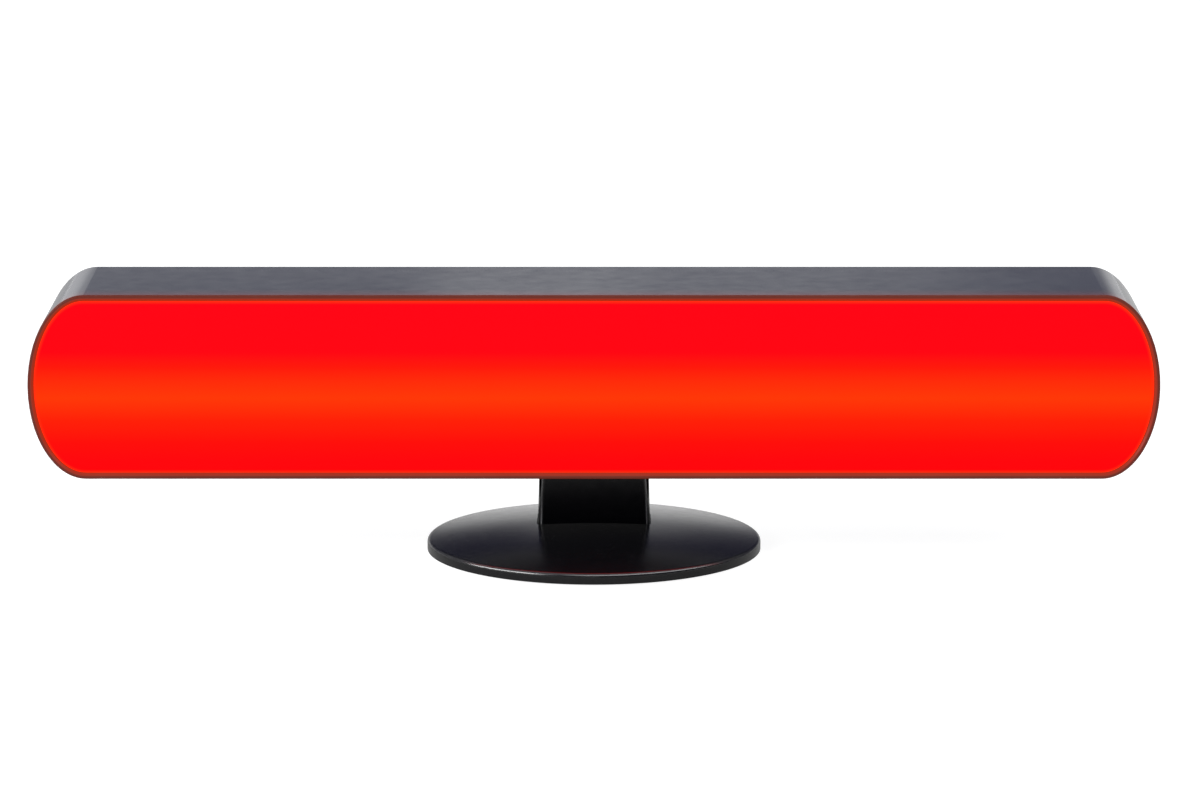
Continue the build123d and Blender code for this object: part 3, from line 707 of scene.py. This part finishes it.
# From behind, +X is on the left, so each icon is drawn to read the same both ways round.
ICONS = {
    "power": [arc(0.0019, 120, 420), [(0.0, 0.0004), (0.0, 0.0025)]],
    "colour": [arc(0.0011, 0, 360, (0.0012 * math.sin(turn), 0.0012 * math.cos(turn))) for turn in THIRDS],
    "brightness": [arc(0.0010, 0, 360)],
}
for turn in range(0, 360, 45):
    ICONS["brightness"].append([arc(reach, turn, turn, steps=1)[0] for reach in (0.0017, 0.0025)])
ink = printed_white()
for button, strokes in ICONS.items():
    icon = icon_mesh(f"{button}_icon", strokes, INK_WIDTH, (BUTTON_X[button], ICON_Z))
    piece(f"{button}_icon", icon, ink, "bar")

# ---- Stage: floor, light and camera ----
FLOOR_SIZE = 14.0
FLOOR_Z = -0.0002
bpy.ops.mesh.primitive_plane_add(size=FLOOR_SIZE, location=(0, 0, FLOOR_Z))
floor = bpy.context.object
floor.name = "floor"
floor_graph = Graph("floor_white")
floor_graph.set(
    Base_Color=(0.25, 0.25, 0.25),
    Roughness=0.9,
    Specular_IOR_Level=0.1,
    Emission_Color=(1.0, 1.0, 1.0),
    Emission_Strength=0.94,
)
floor.data.materials.append(floor_graph.material)

world = bpy.data.worlds.new("studio")
bpy.context.scene.world = world
world.use_nodes = True
sky = Tree(world.node_tree, "ShaderNodeOutputWorld", "ShaderNodeBackground", "Generated")
sky_x, sky_y, sky_z = sky.axes()
# A white backdrop low down, a dark band over it that is a little blue, and a pale ceiling.
# Each stop is the sine of the height above the horizon, and a brightness.
CEILING = [(0.60, 0.02), (0.80, 0.30), (1.0, 0.4)]
SHARP_SKY = [(0.0, 1.0), (0.135, 1.0), (0.168, 0.13), (0.21, 0.03), (0.36, 0.03), *CEILING]
SOFT_SKY = [(0.0, 0.66), (0.06, 0.74), (0.11, 0.72), (0.15, 0.48), (0.19, 0.24), (0.22, 0.05), *CEILING]
COOLNESS = 0.035
PATCH_STRENGTH = 0.75


def sky_ramp(level, stops):
    """A grey for each height in the sky, a little blue where it is dark."""
    tinted = [(place, (value, value, value + COOLNESS * (1 - value))) for place, value in stops]
    return sky.ramp(level, tinted)


# How far to the right a direction points for each step away from the camera.
sideways = sky.math("DIVIDE", sky_x, sky.math("MAXIMUM", sky_y, 0.01))
# The white part fades more slowly out at both sides, and is lower at the right.
drop = sky.span(sideways, 0.06, 0.14, 0.0, 0.05)
level = sky.math("ADD", sky_z, drop)
outward = sky.math("ADD", sky.span(sideways, -0.14, -0.085, 1.0, 0.0), sky.span(sideways, 0.095, 0.13))
backdrop = sky.mix(outward, sky_ramp(level, SHARP_SKY), sky_ramp(level, SOFT_SKY))
# A soft patch of light on the dark band, straight behind the lamp.
left_edge = sky.span(sideways, -0.038, -0.024, smooth=True)
right_edge = sky.math(
    "ADD",
    sky.span(sideways, -0.002, 0.014, 0.5, 0.0, smooth=True),
    sky.span(sideways, 0.030, 0.075, 0.5, 0.0, smooth=True),
)
lower_edge = sky.span(sky_z, 0.17, 0.20, smooth=True)
upper_edge = sky.span(sky_z, 0.25, 0.30, 1.0, 0.0, smooth=True)
patch = sky.all_of(left_edge, right_edge, lower_edge, upper_edge, PATCH_STRENGTH)
sky.set(Color=sky.mix(patch, backdrop, (1.0, 1.0, 1.0)))


def softbox(name, location, target, size, power):
    """A rectangular light that faces a point."""
    data = bpy.data.lights.new(name, "AREA")
    data.shape = "RECTANGLE"
    data.size, data.size_y = size
    data.energy = power
    light = bpy.data.objects.new(name, data)
    bpy.context.scene.collection.objects.link(light)
    light.location = location
    light.rotation_euler = (Vector(target) - Vector(location)).to_track_quat("-Z", "Y").to_euler()
    light.visible_camera = False
    return light


softbox("light_left", (-2.25, -0.63, 1.0), (-0.6, 1.6, 0), (2.7, 0.7), 119.0)
softbox("light_right", (0.77, -0.59, 1.2), (0.415, 0, 0), (2.64, 0.45), 28.0)


def card(name, mesh, brightness):
    """A black or grey card flat on the floor, seen only in reflections."""
    graph = Graph(name)
    graph.set(Base_Color=(0.0, 0.0, 0.0), Roughness=0.9, Specular_IOR_Level=0.0)
    graph.set(Emission_Color=(1.0, 1.0, 1.0), Emission_Strength=brightness)
    mesh.materials.append(graph.material)
    made = bpy.data.objects.new(name, mesh)
    bpy.context.scene.collection.objects.link(made)
    for way in ("camera", "diffuse", "shadow", "transmission", "volume_scatter"):
        setattr(made, f"visible_{way}", False)


CARD_Z = 0.0001
RING_RADII = (0.0602, 0.084)
RING_STEPS = 64
# Limits along X and Y, and brightness.
CARDS = {
    "card_left": ((-0.35, -0.09), (-0.035, 0.395), 0.0),
    "card_right": ((0.09, 0.35), (-0.035, 0.395), 0.0),
    "card_far_left": ((-1.20, -0.22), (0.40, 3.50), 0.48),
    "card_far_right": ((0.22, 1.20), (0.40, 3.50), 0.60),
}
for name, ((left, right), (front, rear), brightness) in CARDS.items():
    sheet = bpy.data.meshes.new(name)
    corners = ((left, front), (right, front), (right, rear), (left, rear))
    sheet.from_pydata([(x, y, CARD_Z) for x, y in corners], [], [(0, 1, 2, 3)])
    card(name, sheet, brightness)

# Painted shadow: a grey ring round the base, seen only in reflections, stands in for the floor's contact
# shadow there.
ring_shape = bmesh.new()
circles = (arc(radius, 0, 360, steps=RING_STEPS)[:-1] for radius in RING_RADII)
inner, outer = ([ring_shape.verts.new((x, y, CARD_Z)) for x, y in circle] for circle in circles)
for step in range(RING_STEPS):
    following = (step + 1) % RING_STEPS
    ring_shape.faces.new((inner[step], outer[step], outer[following], inner[following]))
ring_sheet = bpy.data.meshes.new("shadow_ring_card")
ring_shape.to_mesh(ring_sheet)
ring_shape.free()
card("shadow_ring_card", ring_sheet, 0.38)

CAMERA_PLACE = (0.00216, -1.94605, 0.44187)
LOOKING_DOWN = 11.25
camera_data = bpy.data.cameras.new("camera")
camera_data.lens = 165.98
camera_data.sensor_width = 36.0
camera_data.clip_end = 50.0
camera = bpy.data.objects.new("camera", camera_data)
bpy.context.scene.collection.objects.link(camera)
camera.location = CAMERA_PLACE
camera.rotation_euler = (math.radians(90.0 - LOOKING_DOWN), 0, 0)
bpy.context.scene.camera = camera
bpy.context.scene.view_settings.view_transform = "Standard"
